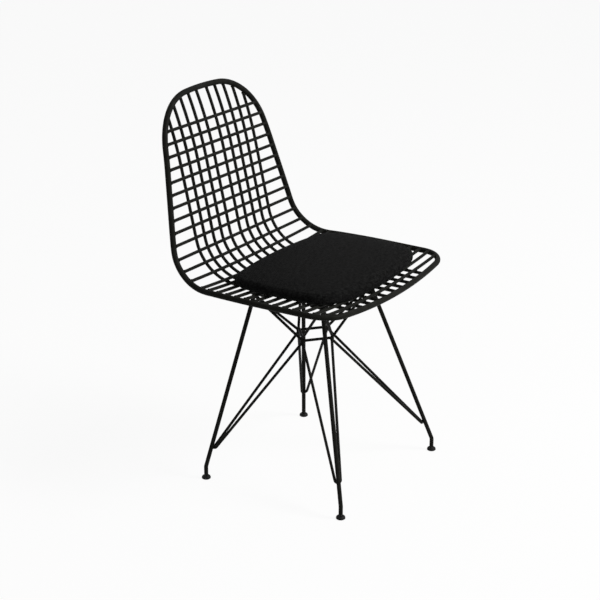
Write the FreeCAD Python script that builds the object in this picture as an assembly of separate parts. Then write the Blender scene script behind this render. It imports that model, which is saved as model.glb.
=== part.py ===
import FreeCAD, Part
import os
from math import acos, asin, atan2, ceil, cos, degrees, pi, radians, sin, sqrt, tan

# Wire mesh dining chair: a welded shell of crossed wires inside a heavier rim rod, carried
# on a base of four rod legs with thin cross braces, with a loose seat cushion.
# Millimetres, +Z up, the sitter faces -Y. The floor is z = 0.

# Rod and wire stock
wire_d = 7.0
rim_d = 12.5
leg_d = 9.2
brace_d = 6.2
weld_gap = 0.1
wire_end_step = 4.0

# Shell, side view: seat line, bend, straight back, flared top
seat_mid_z = 444.6
seat_front_y = -182.8
dish_radius = 2090.0
back_lean = 12.9
back_foot_y = 208.3
bend_radius = 100.0
rim_top_z = 827.6
flare_height = 143.9
flare_radius = 767.0

# Shell, unrolled outline of one half of the rim
front_edge_radius = 2070.0
front_edge_half = 192.0
front_corner_radius = 58.0
side_heading = 88.6
side_length = 90.0
waist_radius = 1458.0
taper_heading = 102.0
shoulder_radius = 134.5
shoulder_end_heading = 175.8
rim_station_pitch = 36.0
rim_station_turn = 24.0
tangent_step = 0.01
straight_sag = 0.002
notch_reach = 20.0
bisect_steps = 50

# Longitudinal wires, and laterals in three groups along the sheet: up the back, round the
# bend and across the seat
long_count = 10
long_pitch = 30.1
long_centre_gap = 37.0
back_lateral_count = 10
back_lateral_top_step = 70.5
back_lateral_low_step = 12.8
bend_lateral_count = 3
bend_lateral_pitch = 29.8
bend_lateral_low_step = 22.4
seat_lateral_count = 13
seat_lateral_front_step = 28.5

# Legs: half spacing of the feet and of the leg tops, from the base's centre line
foot_x = 199.0
foot_y = 174.2
knee_z = 29.0
knee_radius = 14.0
leg_top_out = 3.5
leg_top_rear_y = 109.9
leg_top_front_y = -62.6

# Braces: four nodes round the centre, below the leg tops, and hairpins low on the legs
node_x = 50.7
node_y = 43.2
node_centre_y = 16.8
node_drop = 105.0
node_bend_radius = 10.0
brace_end_drop = 3.0
hairpin_z = 56.0
hairpin_radius = 6.3
hairpin_end_drop = 3.4

# Shell mounts: plate under two longitudinal wires, rubber bush, tab on the leg, bolt
mount_step_y = 20.0
plate_w = 44.0
plate_l = 30.0
plate_t = 3.0
bush_d = 28.0
bush_waist_d = 24.0
bush_h = 16.6
tab_w = 22.0
tab_t = 4.0
tab_margin = 2.0
bolt_d = 6.0
bolt_head_d = 11.0
bolt_head_h = 4.0
bolt_head_round = 1.3
socket_flats = 4.0
socket_depth = 2.4
nut_d = 11.5
nut_h = 5.0
bolt_clearance = 0.25

# Foot glides on ball studs
glide_d = 20.0
glide_foot_d = 17.0
glide_edge_z = 1.2
glide_shoulder_z = 3.2
glide_top_d = 10.6
glide_top_z = 7.6
glide_dome = 1.1
ball_d = 7.0
ball_z = 4.6
ball_clearance = 0.05
stud_neck_d = 3.4
stud_shank_d = 4.6
stud_shank_l = 12.0
stud_fit = 0.02
leg_foot_z = 9.4
glide_tilt = 8.0
glide_mouth_clearance = 0.4

# Cushion: outline sides and corners in plan, thickness at the edge and crown
cushion_half_w = 204.0
cushion_front_y = -152.0
cushion_rear_y = 130.0
cushion_side_radius = 520.0
cushion_end_radius = 900.0
cushion_corner_radius = 62.0
cushion_edge_h = 22.0
cushion_crown_h = 8.0
cushion_gap = 0.3

# Cushion edge: drawn-in distance and share of the edge height, then the same for the crown
cushion_side = [(6.0, 0.0), (1.5, 0.22), (0.0, 0.5), (1.5, 0.78), (8.0, 1.0)]
cushion_crown = [(40.0, 0.55), (90.0, 1.0)]

# Straps: webbing loops round the outermost wires, in these bays between laterals
strap_w = 13.0
strap_t = 1.2
strap_bays = (2, 8)

# Worked out from the driving values
tiny = 1e-6
flare_start_z = rim_top_z - flare_height
lean = radians(back_lean)
wire_off = (wire_d + weld_gap) / 2
bend_turn = pi / 2 - lean
normal_back = (-cos(lean), sin(lean))


def vec(x, y, z):
    return FreeCAD.Vector(x, y, z)


def seat_z(x):
    """Height of the contact sheet, between the two wire layers, in the flat of the seat."""
    return seat_mid_z + x * x / (2 * dish_radius)


def back_y(z):
    return back_foot_y + (z - seat_mid_z) * tan(lean)


def bend_centre(x):
    z = seat_z(x)
    reach = bend_radius * tan(bend_turn / 2)
    return back_y(z) - reach, z + bend_radius


def flare_centre():
    return (back_y(flare_start_z) - flare_radius * normal_back[0],
            flare_start_z - flare_radius * normal_back[1])


# Lengths along the middle of the sheet, from the front rim to the top rim
seat_run = bend_centre(0)[0] - seat_front_y
bend_run = bend_radius * bend_turn
back_start_z = bend_centre(0)[1] - bend_radius * sin(lean)
back_run = (flare_start_z - back_start_z) / cos(lean)
flare_run = flare_radius * (asin((rim_top_z - flare_centre()[1]) / flare_radius) - lean)
sheet_run = seat_run + bend_run + back_run + flare_run


def sheet_frame(s):
    """Point of the middle of the sheet at length s, with its normal towards the sitter."""
    if s <= seat_run:
        return (seat_front_y + s, seat_mid_z), (0.0, 1.0)
    cy, cz = bend_centre(0)
    if s <= seat_run + bend_run:
        a = (s - seat_run) / bend_radius
        n = (-sin(a), cos(a))
        return (cy - bend_radius * n[0], cz - bend_radius * n[1]), n
    rest = s - seat_run - bend_run
    if rest <= back_run:
        z = back_start_z + rest * cos(lean)
        return (back_y(z), z), normal_back
    a = lean + (rest - back_run) / flare_radius
    fy, fz = flare_centre()
    n = (-cos(a), sin(a))
    return (fy + flare_radius * n[0], fz + flare_radius * n[1]), n


def sheet_point(x, s, offset):
    """Point off the dished sheet: the dish fades out round the bend."""
    (y, z), n = sheet_frame(s)
    share = n[0] * tan(lean) + n[1] if s < seat_run + bend_run else 0.0
    rise = offset + share * x * x / (2 * dish_radius)
    return vec(x, y + n[0] * rise, z + n[1] * rise)


# Rim outline on the unrolled sheet, as turns and straights from the front centre
def step(state, length, turn):
    x, s, h = state
    if abs(turn) < tiny:
        return x + length * cos(h), s + length * sin(h), h
    r = length / turn
    return x + r * (sin(h + turn) - sin(h)), s + r * (cos(h) - cos(h + turn)), h + turn


def outline_legs():
    """Each stretch of the half outline as (length, turn)."""
    edge_turn = asin(front_edge_half / front_edge_radius)
    turns = [(front_edge_radius * edge_turn, edge_turn)]
    corner = radians(side_heading) - edge_turn
    turns.append((front_corner_radius * corner, corner))
    turns.append((side_length, 0.0))
    waist = radians(taper_heading - side_heading)
    turns.append((waist_radius * waist, waist))
    state = (0.0, 0.0, 0.0)
    for length, turn in turns:
        state = step(state, length, turn)
    shoulder = radians(shoulder_end_heading - taper_heading)
    top = radians(180.0 - shoulder_end_heading)
    start, end = radians(taper_heading), radians(shoulder_end_heading)
    # The taper's length closes the outline in height, the top's radius closes it in width
    in_x = shoulder_radius * (sin(end) - sin(start))
    up_s = shoulder_radius * (cos(start) - cos(end))
    a11, a12 = cos(start), -sin(end)
    a21, a22 = sin(start), cos(end) + 1.0
    b1 = -(state[0] + in_x)
    b2 = sheet_run - (state[1] + up_s)
    det = a11 * a22 - a12 * a21
    taper = (b1 * a22 - a12 * b2) / det
    top_radius = (a11 * b2 - b1 * a21) / det
    turns.append((taper, 0.0))
    turns.append((shoulder_radius * shoulder, shoulder))
    turns.append((top_radius * top, top))
    return turns


outline = outline_legs()


def stretches():
    """Each stretch of the half outline with the state that it starts from."""
    state = (0.0, 0.0, 0.0)
    found = []
    for length, turn in outline:
        found.append((state, length, turn))
        state = step(state, length, turn)
    return found


def outline_samples():
    """Stations (x, s, heading) along the half outline."""
    found = [(0.0, 0.0, 0.0)]
    for state, length, turn in stretches():
        n = max(1, ceil(length / rim_station_pitch), ceil(turn / radians(rim_station_turn)))
        for i in range(1, n + 1):
            found.append(step(state, length * i / n, turn * i / n))
    return found


def outline_at_x(x, top):
    """Station and curvature where the outline's front or top edge stands at half width x."""
    for state, length, turn in (reversed(stretches()) if top else stretches()):
        low, high = sorted((state[0], step(state, length, turn)[0]))
        if low - tiny <= x <= high + tiny:
            return bisect(lambda k: step(state, length * k, turn * k), 0, x), turn / length
    raise ValueError("no rim at x = %g" % x)


def outline_at_s(s):
    """Station and curvature of the outline's side at length s."""
    for state, length, turn in stretches()[1:-1]:
        if state[1] - tiny <= s <= step(state, length, turn)[1] + tiny:
            return bisect(lambda k: step(state, length * k, turn * k), 1, s), turn / length
    raise ValueError("no rim at s = %g" % s)


def bisect(path, axis, target):
    low, high = 0.0, 1.0
    rising = path(1.0)[axis] > path(0.0)[axis]
    for _ in range(bisect_steps):
        mid = (low + high) / 2
        if (path(mid)[axis] < target) == rising:
            low = mid
        else:
            high = mid
    return path((low + high) / 2)


# Sweeps
def biarc(p0, t0, p1, t1):
    """Two arcs that leave p0 along t0 and reach p1 along t1."""
    v = p1 - p0
    dot = t0.dot(t1)
    vt = v.dot(t0 + t1)
    if 1 - dot < tiny * tiny:
        d = v.dot(v) / (2 * vt)
    else:
        d = (-vt + sqrt(vt * vt + 2 * (1 - dot) * v.dot(v))) / (2 * (1 - dot))
    q0 = p0 + t0 * d
    q1 = p1 - t1 * d
    joint = (q0 + q1) * 0.5
    return [corner_arc(p0, q0, joint), corner_arc(joint, q1, p1)]


def arc_through(a, m, b, slack=straight_sag):
    """Arc through three points, or a line where they bow by less than the slack."""
    if ((a + b) * 0.5 - m).Length < slack:
        return Part.LineSegment(a, b).toShape()
    return Part.Arc(a, m, b).toShape()


def corner_arc(a, q, b):
    """Arc from a to b tangent to a-q and q-b."""
    w = (b - a).Length / 2 / (q - a).Length
    return arc_through(a, (a + q * (2 * w) + b) * (1 / (2 * (1 + w))), b)


def filleted(points, radii):
    """Straight runs through points with a tangent arc at each inner point."""
    edges = []
    last = points[0]
    for i in range(1, len(points) - 1):
        a, q, b = points[i - 1], points[i], points[i + 1]
        u = (a - q).normalize()
        w = (b - q).normalize()
        half = acos(max(-1.0, min(1.0, u.dot(w)))) / 2
        d = radii[i - 1] / tan(half)
        start, end = q + u * d, q + w * d
        edges.append(Part.LineSegment(last, start).toShape())
        edges.append(corner_arc(start, q, end))
        last = end
    edges.append(Part.LineSegment(last, points[-1]).toShape())
    return edges


def rod(edges, diameter):
    """Round rod along a tangent chain of edges."""
    start = edges[0].Vertexes[0].Point
    tangent = edges[0].tangentAt(edges[0].FirstParameter)
    ring = Part.Wire(Part.makeCircle(diameter / 2, start, tangent))
    return Part.Wire(edges).makePipeShell([ring], True, False)


def largest(shape):
    return max(shape.Solids, key=lambda solid: solid.Volume)


def mirrored(shape):
    return shape.mirror(vec(0, 0, 0), vec(1, 0, 0))


# Shell
def rim_half():
    """One half of the rim rod, from the front centre to the top centre."""
    frames = []
    for x, s, a in outline_samples():
        dx, ds = tangent_step * cos(a), tangent_step * sin(a)
        ahead = sheet_point(x + dx, min(sheet_run, s + ds), 0)
        behind = sheet_point(x - dx, max(0.0, s - ds), 0)
        frames.append((sheet_point(x, s, 0), (ahead - behind).normalize()))
    edges = []
    for (p0, t0), (p1, t1) in zip(frames, frames[1:]):
        edges += biarc(p0, t0, p1, t1)
    return rod(edges, rim_d)


def make_rim():
    half = rim_half()
    return half.fuse(mirrored(half)).removeSplitter()


def notch(state, bend):
    """Stretch of the rim's space that the end of a wire is cut to fit."""
    steps = [step(state, d, d * bend) for d in (-notch_reach, 0, notch_reach)]
    points = [sheet_point(x, s, 0) for x, s, _ in steps]
    return rod([arc_through(*points, weld_gap)], rim_d + 2 * weld_gap)


def longitudinal_wire(x):
    """Wire behind and below the laterals, from the front rim round the bend to the top."""
    front_end, front_bend = outline_at_x(x, False)
    top_end, top_bend = outline_at_x(x, True)
    z = seat_z(x)
    cy, cz = bend_centre(x)
    r_bend = bend_radius + wire_off
    r_flare = flare_radius - wire_off
    fy, fz = flare_centre()
    front = vec(x, seat_front_y + front_end[1] + wire_end_step, z - wire_off)
    seat_end = vec(x, cy, z - wire_off)
    back_end = vec(x, cy - r_bend * normal_back[0], cz - r_bend * normal_back[1])
    start = vec(x, fy + r_flare * normal_back[0], fz + r_flare * normal_back[1])
    run = top_end[1] - wire_end_step - seat_run - bend_run - back_run
    ends = []
    for share in (0.5, 1.0):
        a = lean + share * run / flare_radius
        ends.append(vec(x, fy - r_flare * cos(a), fz + r_flare * sin(a)))
    mid_a = bend_turn / 2
    bend_mid = vec(x, cy + r_bend * sin(mid_a), cz - r_bend * cos(mid_a))
    edges = [Part.LineSegment(front, seat_end).toShape(),
             Part.Arc(seat_end, bend_mid, back_end).toShape(),
             Part.LineSegment(back_end, start).toShape(),
             Part.Arc(start, ends[0], ends[1]).toShape()]
    return rod(edges, wire_d).cut([notch(front_end, front_bend), notch(top_end, top_bend)])


def lateral_wire(s):
    """Wire on the sitter's side, straight across the back and dished across the seat."""
    side, side_bend = outline_at_s(s)
    reach = side[0] - wire_end_step
    arc = arc_through(*[sheet_point(x, s, wire_off) for x in (-reach, 0.0, reach)])
    trim = notch(side, side_bend)
    return rod([arc], wire_d).cut([trim, mirrored(trim)])


def lateral_runs():
    """Place of every lateral along the sheet, from the top of the back to the front."""
    top = sheet_run - back_lateral_top_step
    low = seat_run + bend_run + back_lateral_low_step
    pitch = (top - low) / (back_lateral_count - 1)
    runs = [top - i * pitch for i in range(back_lateral_count)]
    runs += [low - (i + 1) * bend_lateral_pitch for i in range(bend_lateral_count)]
    runs.append(seat_run + bend_lateral_low_step)
    pitch = (seat_run - seat_lateral_front_step) / (seat_lateral_count - 1)
    runs += [seat_run - i * pitch for i in range(seat_lateral_count)]
    return runs


def longitudinal_places():
    side = [long_centre_gap / 2 + i * long_pitch for i in range(long_count // 2)]
    return [-x for x in reversed(side)] + side


# Base
def mount_x():
    """Middle of the two longitudinal wires that carry a mount."""
    side = longitudinal_places()[long_count // 2:]
    return (side[2] + side[3]) / 2


def plate_low_z():
    """Underside of the shell plate, at the bolt."""
    return seat_z(mount_x()) - wire_off - wire_d / 2 - weld_gap / 2 - plate_t


def leg_top(sx, rear):
    y = leg_top_rear_y if rear else leg_top_front_y
    return vec(sx * (mount_x() + leg_top_out), y, plate_low_z() - bush_h - tab_t)


def leg_knee(sx, rear):
    return vec(sx * foot_x, foot_y if rear else -foot_y, knee_z)


def on_leg(sx, rear, z):
    low, high = leg_knee(sx, rear), leg_top(sx, rear)
    return low + (high - low) * ((z - low.z) / (high.z - low.z))


def leg_rod(sx, rear):
    """Bent rod, bored at the foot for the stud."""
    foot = vec(sx * foot_x, foot_y if rear else -foot_y, leg_foot_z)
    edges = filleted([foot, leg_knee(sx, rear), leg_top(sx, rear)], [knee_radius])
    bore = Part.makeCylinder(stud_shank_d / 2, stud_shank_l, foot)
    return rod(edges, leg_d).cut(bore)


def mount_point(sx, rear):
    """Bolt axis at the underside of the shell plate."""
    y = leg_top_rear_y - mount_step_y if rear else leg_top_front_y + mount_step_y
    return vec(sx * mount_x(), y, plate_low_z())


def tilted(shape, sx, rear):
    """Stand a mount piece, modelled about the bolt axis, on the slope of the dish."""
    slope = degrees(asin(mount_x() / dish_radius))
    shape.rotate(vec(0, 0, 0), vec(0, 1, 0), -sx * slope)
    shape.translate(mount_point(sx, rear))
    return shape


def shell_plate(sx, rear):
    """Plate welded under two longitudinal wires, with its weld nut."""
    body = Part.makeBox(plate_w, plate_l, plate_t, vec(-plate_w / 2, -plate_l / 2, 0))
    nut = Part.makeCylinder(nut_d / 2, nut_h, vec(0, 0, plate_t))
    hole = Part.makeCylinder(bolt_d / 2 + bolt_clearance, plate_t + nut_h)
    return tilted(body.fuse(nut).cut(hole).removeSplitter(), sx, rear)


def mount_bush(sx, rear):
    """Waisted rubber spacer."""
    top, low = vec(bush_d / 2, 0, 0), vec(bush_d / 2, 0, -bush_h)
    hole = bolt_d / 2 + bolt_clearance
    edges = [Part.Arc(top, vec(bush_waist_d / 2, 0, -bush_h / 2), low).toShape()]
    loop = [low, vec(hole, 0, -bush_h), vec(hole, 0, 0), top]
    edges += [Part.LineSegment(a, b).toShape() for a, b in zip(loop, loop[1:])]
    shape = Part.Face(Part.Wire(edges)).revolve(vec(0, 0, 0), vec(0, 0, 1), 360)
    return tilted(shape, sx, rear)


def leg_tab(sx, rear):
    """Flat tab on top of the leg, reaching in to the bolt."""
    reach = mount_step_y + leg_d / 2 + tab_margin
    toward = 1 if rear else -1
    low = -bush_h - tab_t
    bar = Part.makeBox(tab_w, reach, tab_t, vec(-tab_w / 2, min(0, toward * reach), low))
    round_end = Part.makeCylinder(tab_w / 2, tab_t, vec(0, 0, low))
    hole = Part.makeCylinder(bolt_d / 2 + bolt_clearance, tab_t, vec(0, 0, low))
    return tilted(bar.fuse(round_end).cut(hole).removeSplitter(), sx, rear)


def hex_socket(low):
    """Six-sided recess for the key, opening downwards at the given height."""
    r = socket_flats / sqrt(3)
    ring = [vec(r * cos(pi * i / 3), r * sin(pi * i / 3), low) for i in range(7)]
    return Part.Face(Part.makePolygon(ring)).extrude(vec(0, 0, socket_depth))


def mount_bolt(sx, rear):
    grip = bush_h + tab_t
    low = -grip - bolt_head_h
    head = Part.makeCylinder(bolt_head_d / 2, bolt_head_h, vec(0, 0, low))
    edge = [e for e in head.Edges if e.BoundBox.ZMax < low + tiny]
    shank = Part.makeCylinder(bolt_d / 2, grip + plate_t + nut_h, vec(0, 0, -grip))
    shape = head.makeFillet(bolt_head_round, edge).cut(hex_socket(low)).fuse(shank)
    return tilted(shape.removeSplitter(), sx, rear)


def make_leg(sx, rear):
    """Rod and tab welded into one piece."""
    tab = leg_tab(sx, rear)
    return largest(leg_rod(sx, rear).fuse(tab).removeSplitter())


def node_point(name, lift=0.0):
    place = {"rear": (0, node_y), "front": (0, -node_y),
             "left": (-node_x, 0), "right": (node_x, 0)}[name]
    return vec(place[0], node_centre_y + place[1], leg_top(1, True).z - node_drop + lift)


def brace_end(sx, rear, toward):
    """Where a brace reaches the leg, set to the side of its axis that it comes from."""
    axis = on_leg(sx, rear, leg_top(sx, rear).z - brace_end_drop)
    run = toward - axis
    inward = vec(-axis.x, node_centre_y - axis.y, 0).normalize()
    across = vec(-inward.y, inward.x, 0)
    side = 1 if run.dot(across) > 0 else -1
    return axis + across * (side * (brace_d / 2 + weld_gap))


def cross_brace(start, first, second, end, lift):
    """Wire from one leg top down to two nodes and up to the leg top across the base."""
    a, b = node_point(first, lift), node_point(second, lift)
    points = [brace_end(*start, a), a, b, brace_end(*end, b)]
    return rod(filleted(points, [node_bend_radius] * 2), brace_d)


def hairpin_end(name):
    """End of a hairpin wire, at a node and against the braces there."""
    return node_point(name, -hairpin_end_drop)


def hairpin(sx, rear, first, second):
    """Closed bend against the inside of the leg, with its two ends up at the nodes."""
    leg = on_leg(sx, rear, hairpin_z)
    ends = [hairpin_end(name) for name in (first, second)]
    runs = [(end - leg).normalize() for end in ends]
    aim = (runs[0] + runs[1]).normalize()
    across = (runs[1] - runs[0]).normalize()
    leg_dir = (leg_top(sx, rear) - leg_knee(sx, rear)).normalize()
    skew = sqrt(1 - aim.dot(leg_dir) ** 2)
    tip = leg + aim * ((leg_d / 2 + brace_d / 2 + weld_gap / 2) / skew)
    centre = tip + aim * hairpin_radius
    tangents = []
    for end, side in zip(ends, (-1, 1)):
        reach = end - centre
        turn = atan2(side * reach.dot(across), reach.dot(aim)) + acos(hairpin_radius / reach.Length)
        out = aim * cos(turn) + across * (side * sin(turn))
        tangents.append(centre + out * hairpin_radius)
    edges = [Part.LineSegment(ends[0], tangents[0]).toShape(),
             Part.Arc(tangents[0], tip, tangents[1]).toShape(),
             Part.LineSegment(tangents[1], ends[1]).toShape()]
    return rod(edges, brace_d)


# Feet
def foot_place(sx, rear):
    return vec(sx * foot_x, foot_y if rear else -foot_y, 0)


def make_stud(sx, rear):
    ball = Part.makeSphere(ball_d / 2, vec(0, 0, ball_z))
    neck = Part.makeCylinder(stud_neck_d / 2, leg_foot_z - ball_z, vec(0, 0, ball_z))
    shank = Part.makeCylinder(stud_shank_d / 2 - stud_fit, stud_shank_l - stud_fit,
                              vec(0, 0, leg_foot_z))
    shape = ball.fuse([neck, shank]).removeSplitter()
    shape.translate(foot_place(sx, rear))
    return shape


def make_glide(sx, rear):
    """Domed disc with a ball socket, open at the top so that it can tilt."""
    shoulder = vec(glide_d / 2, 0, glide_shoulder_z)
    top = vec(glide_top_d / 2, 0, glide_top_z)
    slope = (top - shoulder).normalize()
    bulge = (shoulder + top) * 0.5 + vec(slope.z, 0, -slope.x) * glide_dome
    line = [vec(0, 0, glide_top_z), vec(0, 0, 0), vec(glide_foot_d / 2, 0, 0),
            vec(glide_d / 2, 0, glide_edge_z), shoulder]
    edges = [Part.LineSegment(a, b).toShape() for a, b in zip(line, line[1:])]
    edges.append(Part.Arc(shoulder, bulge, top).toShape())
    edges.append(Part.LineSegment(top, line[0]).toShape())
    body = Part.Face(Part.Wire(edges)).revolve(vec(0, 0, 0), vec(0, 0, 1), 360)
    socket = Part.makeSphere(ball_d / 2 + ball_clearance, vec(0, 0, ball_z))
    rise = glide_top_z - ball_z
    neck = stud_neck_d / 2 + glide_mouth_clearance
    mouth = Part.makeCone(neck, neck + rise * tan(radians(glide_tilt)), rise, vec(0, 0, ball_z))
    shape = body.cut(socket).cut(mouth)
    shape.translate(foot_place(sx, rear))
    return shape


# Cushion
def cushion_outline(inset, z):
    """Four bowed sides joined by corner arcs, drawn in by inset."""
    half_w = cushion_half_w - inset
    front, rear = cushion_front_y + inset, cushion_rear_y - inset
    mid_y = (front + rear) / 2
    half_l = (rear - front) / 2
    r = cushion_corner_radius - inset * 0.5
    ra, rb = cushion_side_radius, cushion_end_radius
    # Corner arc centre: tangent inside both the side arc and the end arc
    ax, by = half_w - ra, half_l - rb
    d1, d2 = ra - r, rb - r
    # Circles about (ax, 0) and (0, by) meet at the corner centre
    dist = sqrt(ax * ax + by * by)
    along = (d1 * d1 - d2 * d2 + dist * dist) / (2 * dist)
    off = sqrt(d1 * d1 - along * along)
    ux, uy = -ax / dist, by / dist
    cx, cy = ax + ux * along - uy * off, uy * along + ux * off
    if cx < 0 or cy < 0:
        cx, cy = ax + ux * along + uy * off, uy * along - ux * off
    sx = (cx - ax) / d1
    sy = cy / d1
    ex = cx / d2
    ey = (cy - by) / d2
    p_side = (cx + r * sx, cy + r * sy)
    p_end = (cx + r * ex, cy + r * ey)
    m = sqrt((sx + ex) ** 2 + (sy + ey) ** 2)
    p_mid = (cx + r * (sx + ex) / m, cy + r * (sy + ey) / m)
    edges = []
    quads = [(1, 1), (-1, 1), (-1, -1), (1, -1)]
    for i, (qx, qy) in enumerate(quads):
        a, b = (p_side, p_end) if qx * qy > 0 else (p_end, p_side)
        pa = vec(qx * a[0], mid_y + qy * a[1], z)
        pm = vec(qx * p_mid[0], mid_y + qy * p_mid[1], z)
        pb = vec(qx * b[0], mid_y + qy * b[1], z)
        edges.append(Part.Arc(pa, pm, pb).toShape())
        nx, ny = quads[(i + 1) % 4]
        pc = vec(nx * b[0], mid_y + ny * b[1], z)
        if nx != qx:
            mid = vec(0, mid_y + qy * half_l, z)
        else:
            mid = vec(qx * half_w, mid_y, z)
        edges.append(Part.Arc(pb, mid, pc).toShape())
    return Part.Wire(edges)


def cushion_floor(x):
    """Top of the lateral wires, plus the gap."""
    return seat_z(x) + wire_off + wire_d / 2 + cushion_gap


def make_cushion():
    """Crowned pad whose underside lies in the dish of the laterals."""
    base = cushion_floor(cushion_half_w)
    rim_z = base + cushion_edge_h
    stack = [(cushion_side[0][0], cushion_floor(0) - cushion_gap)]
    stack += [(inset, base + share * cushion_edge_h) for inset, share in cushion_side]
    stack += [(inset, rim_z + share * cushion_crown_h) for inset, share in cushion_crown]
    parts = []
    for (i0, z0), (i1, z1) in zip(stack, stack[1:]):
        parts.append(Part.makeLoft([cushion_outline(i0, z0), cushion_outline(i1, z1)],
                                   True, True))
    body = parts[0].fuse(parts[1:])
    r = seat_mid_z + dish_radius - cushion_floor(0)
    start = vec(0, 2 * cushion_front_y, seat_mid_z + dish_radius)
    length = 2 * (cushion_rear_y - cushion_front_y)
    drum = Part.makeCylinder(r, length, start, vec(0, 1, 0))
    return largest(body.common(drum).removeSplitter())


def strap_places(runs):
    """Middle of the bays between laterals that hold a strap, in y."""
    seat = [seat_front_y + s for s in runs[-seat_lateral_count:]]
    return [(seat[i] + seat[i + 1]) / 2 for i in strap_bays]


def make_straps(runs):
    """Webbing loops from the cushion down round a longitudinal wire."""
    x = longitudinal_places()[-1]
    inner = wire_d / 2 + weld_gap
    outer = inner + strap_t
    z = seat_z(x) - wire_off
    top = cushion_floor(x - outer) - weld_gap
    loops = []
    for sx in (-1, 1):
        for y in strap_places(runs):
            corner = vec(sx * x - outer, y - strap_w / 2, z)
            wall = Part.makeBox(2 * outer, strap_w, top - z, corner)
            drum = Part.makeCylinder(outer, strap_w, vec(sx * x, y - strap_w / 2, z), vec(0, 1, 0))
            hollow = Part.makeBox(2 * inner, strap_w, top - z - strap_t,
                                  vec(sx * x - inner, y - strap_w / 2, z))
            bore = Part.makeCylinder(inner, strap_w, vec(sx * x, y - strap_w / 2, z), vec(0, 1, 0))
            loops.append(wall.fuse(drum).cut(hollow.fuse(bore)).removeSplitter())
    return Part.makeCompound(loops)


# Assembly
corners = {"front_left": (-1, False), "front_right": (1, False),
           "rear_left": (-1, True), "rear_right": (1, True)}
hairpin_nodes = {"front_left": ("left", "front"), "front_right": ("front", "right"),
                 "rear_left": ("left", "rear"), "rear_right": ("rear", "right")}
brace_routes = {
    "cross_brace_a": ("rear_left", "rear", "right", "front_right", 0),
    "cross_brace_b": ("rear_left", "left", "front", "front_right", 0),
    "cross_brace_c": ("front_left", "left", "rear", "rear_right", 1),
    "cross_brace_d": ("front_left", "front", "right", "rear_right", 1)}


def build():
    nodes = {"shell_rim": make_rim()}
    for i, x in enumerate(longitudinal_places()):
        wire = longitudinal_wire(abs(x))
        nodes["longitudinal_wire_%02d" % (i + 1)] = wire if x > 0 else mirrored(wire)
    runs = lateral_runs()
    for i, s in enumerate(runs):
        nodes["lateral_wire_%02d" % (i + 1)] = lateral_wire(s)
    legs = {name: make_leg(*where) for name, where in corners.items()}
    for name, leg in legs.items():
        nodes["leg_" + name] = leg
    braces = []
    for name, (start, first, second, end, layer) in brace_routes.items():
        lift = layer * (brace_d + weld_gap)
        brace = cross_brace(corners[start], first, second, corners[end], lift)
        for other in [legs[start], legs[end]] + braces:
            brace = largest(brace.cut(other))
        nodes[name] = brace
        braces.append(brace)
    fitted = list(braces)
    for name, (first, second) in hairpin_nodes.items():
        pin = hairpin(*corners[name], first, second)
        for other in fitted:
            pin = largest(pin.cut(other))
        nodes["leg_hairpin_" + name] = pin
        fitted.append(pin)
    places = list(corners.values())
    nodes["shell_mount_plates"] = Part.makeCompound([shell_plate(*p) for p in places])
    nodes["mount_bushes"] = Part.makeCompound([mount_bush(*p) for p in places])
    nodes["mount_bolts"] = Part.makeCompound([mount_bolt(*p) for p in places])
    nodes["glide_studs"] = Part.makeCompound([make_stud(*p) for p in places])
    for name, where in corners.items():
        nodes["glide_" + name] = make_glide(*where)
    nodes["seat_cushion"] = make_cushion()
    nodes["cushion_straps"] = make_straps(runs)
    return nodes


def origin_shift():
    """Move the middle of the chair's depth to y = 0."""
    front = min(sheet_point(0, 0, 0).y - rim_d / 2, -foot_y - glide_d / 2)
    rear = max(sheet_point(0, sheet_run, 0).y + rim_d / 2, foot_y + glide_d / 2)
    return vec(0, -(front + rear) / 2, 0)


os.makedirs("parts", exist_ok=True)
for node, shape in build().items():
    shape.translate(origin_shift())
    shape.exportStep("parts/%s.step" % node)
    print(node, len(shape.Solids), round(shape.Volume), shape.isValid())
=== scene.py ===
# Wire mesh dining chair: coated rods and wires, weld beads, sewn seat pad, plain studio
import math
import random

import bpy
import bmesh
from mathutils import Matrix, Vector, noise


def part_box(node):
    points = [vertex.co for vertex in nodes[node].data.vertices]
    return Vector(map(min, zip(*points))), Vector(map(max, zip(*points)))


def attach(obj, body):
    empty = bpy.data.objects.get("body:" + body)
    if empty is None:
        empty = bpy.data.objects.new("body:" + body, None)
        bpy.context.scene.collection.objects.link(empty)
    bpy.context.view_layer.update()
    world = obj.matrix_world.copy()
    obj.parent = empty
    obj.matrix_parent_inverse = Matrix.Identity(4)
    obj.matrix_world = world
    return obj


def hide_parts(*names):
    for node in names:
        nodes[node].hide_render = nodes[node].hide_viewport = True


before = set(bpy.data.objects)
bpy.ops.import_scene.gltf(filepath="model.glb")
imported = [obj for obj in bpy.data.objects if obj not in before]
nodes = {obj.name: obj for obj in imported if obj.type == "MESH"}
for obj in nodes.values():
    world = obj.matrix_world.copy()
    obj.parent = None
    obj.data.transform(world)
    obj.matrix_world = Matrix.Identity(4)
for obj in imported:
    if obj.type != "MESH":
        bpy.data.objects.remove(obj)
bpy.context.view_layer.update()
mm = 0.001
clear = 100 * mm  # rays start this far outside a piece
tiny = 1e-7  # metres, less than anything really moves
noiseSpan = (0.3, 0.7)  # where most of a noise texture's values lie
print("frame loaded,", len(nodes), "CAD pieces")

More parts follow.
